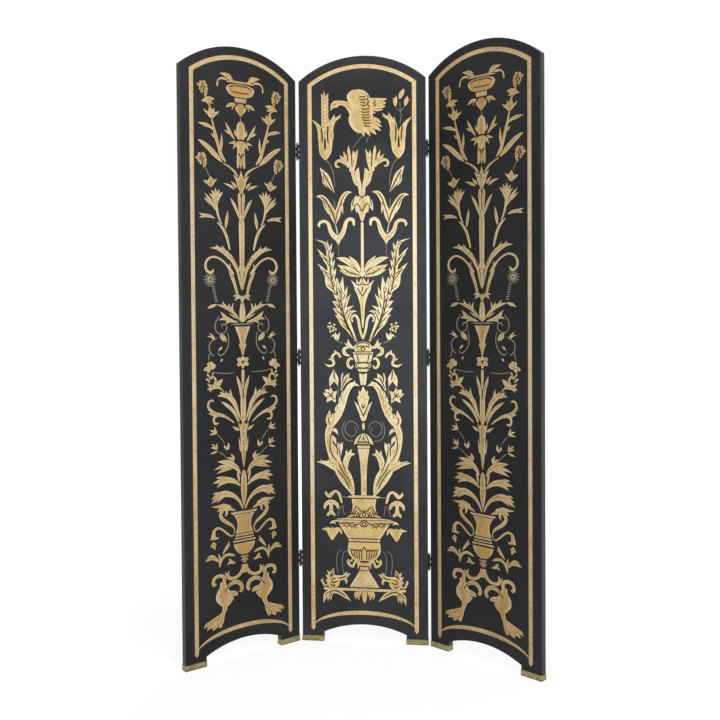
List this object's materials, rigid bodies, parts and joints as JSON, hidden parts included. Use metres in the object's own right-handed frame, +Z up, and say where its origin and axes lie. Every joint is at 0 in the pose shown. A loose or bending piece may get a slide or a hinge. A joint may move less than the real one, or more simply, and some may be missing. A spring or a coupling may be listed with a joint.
{
  "type": "folding screen",
  "caption": "Free-standing folding screen of arched black lacquer panels with gilded urn and leaf ornament, brass-shod feet and loose-pin hinges on each seam.",
  "frame": {"origin": "on the floor, at the middle of the rectangle that the folded screen stands in", "axes": "+Z up; the centre panel faces -Y and its width runs along X; the side panels fold forward, towards -Y"},
  "size_m": [1.0452, 0.3109, 1.829],
  "materials": {
    "frame_wood": "softwood frame, ebonised on its edges",
    "black_lacquer": "charcoal black satin lacquer on thin board",
    "gilding": "raised gesso with aged gold leaf",
    "shoe_brass": "dull olive brass sheet",
    "hinge_bronze": "dark bronzed steel"
  },
  "bodies": {
    "left_panel": {"left_panel_left_stile": "frame_wood", "left_panel_right_stile": "frame_wood", "left_panel_top_rail": "frame_wood", "left_panel_bottom_rail": "frame_wood", "left_panel_core_board": "frame_wood", "left_panel_front_board": "black_lacquer", "left_panel_back_board": "black_lacquer", "left_panel_gold_border": "gilding", "left_panel_gold_ornament": "gilding", "left_panel_left_shoe": "shoe_brass", "left_panel_right_shoe": "shoe_brass", "left_panel_shoe_screws": "shoe_brass", "left_panel_hinge_screws": "hinge_bronze", "left_bottom_hinge_side_leaf": "hinge_bronze", "left_middle_hinge_side_leaf": "hinge_bronze", "left_top_hinge_side_leaf": "hinge_bronze"},
    "centre_panel": {"centre_panel_left_stile": "frame_wood", "centre_panel_right_stile": "frame_wood", "centre_panel_top_rail": "frame_wood", "centre_panel_bottom_rail": "frame_wood", "centre_panel_core_board": "frame_wood", "centre_panel_front_board": "black_lacquer", "centre_panel_back_board": "black_lacquer", "centre_panel_gold_border": "gilding", "centre_panel_gold_ornament": "gilding", "centre_panel_left_shoe": "shoe_brass", "centre_panel_right_shoe": "shoe_brass", "centre_panel_shoe_screws": "shoe_brass", "centre_panel_hinge_screws": "hinge_bronze", "left_bottom_hinge_centre_leaf": "hinge_bronze", "left_bottom_hinge_pin": "hinge_bronze", "left_middle_hinge_centre_leaf": "hinge_bronze", "left_middle_hinge_pin": "hinge_bronze", "left_top_hinge_centre_leaf": "hinge_bronze", "left_top_hinge_pin": "hinge_bronze", "right_bottom_hinge_centre_leaf": "hinge_bronze", "right_bottom_hinge_pin": "hinge_bronze", "right_middle_hinge_centre_leaf": "hinge_bronze", "right_middle_hinge_pin": "hinge_bronze", "right_top_hinge_centre_leaf": "hinge_bronze", "right_top_hinge_pin": "hinge_bronze"},
    "right_panel": {"right_panel_left_stile": "frame_wood", "right_panel_right_stile": "frame_wood", "right_panel_top_rail": "frame_wood", "right_panel_bottom_rail": "frame_wood", "right_panel_core_board": "frame_wood", "right_panel_front_board": "black_lacquer", "right_panel_back_board": "black_lacquer", "right_panel_gold_border": "gilding", "right_panel_gold_ornament": "gilding", "right_panel_left_shoe": "shoe_brass", "right_panel_right_shoe": "shoe_brass", "right_panel_shoe_screws": "shoe_brass", "right_panel_hinge_screws": "hinge_bronze", "right_bottom_hinge_side_leaf": "hinge_bronze", "right_middle_hinge_side_leaf": "hinge_bronze", "right_top_hinge_side_leaf": "hinge_bronze"}
  },
  "joints": [
    {"name": "left_fold", "type": "hinge", "parent": "centre_panel", "child": "left_panel", "pos_m": [-0.22338, 0.1304, 0], "axis": [0, 0, 1], "range_deg": [-57.5, 134.5]},
    {"name": "right_fold", "type": "hinge", "parent": "centre_panel", "child": "right_panel", "pos_m": [0.18162, 0.1304, 0], "axis": [0, 0, -1], "range_deg": [-47.6, 59.4]}
  ]
}
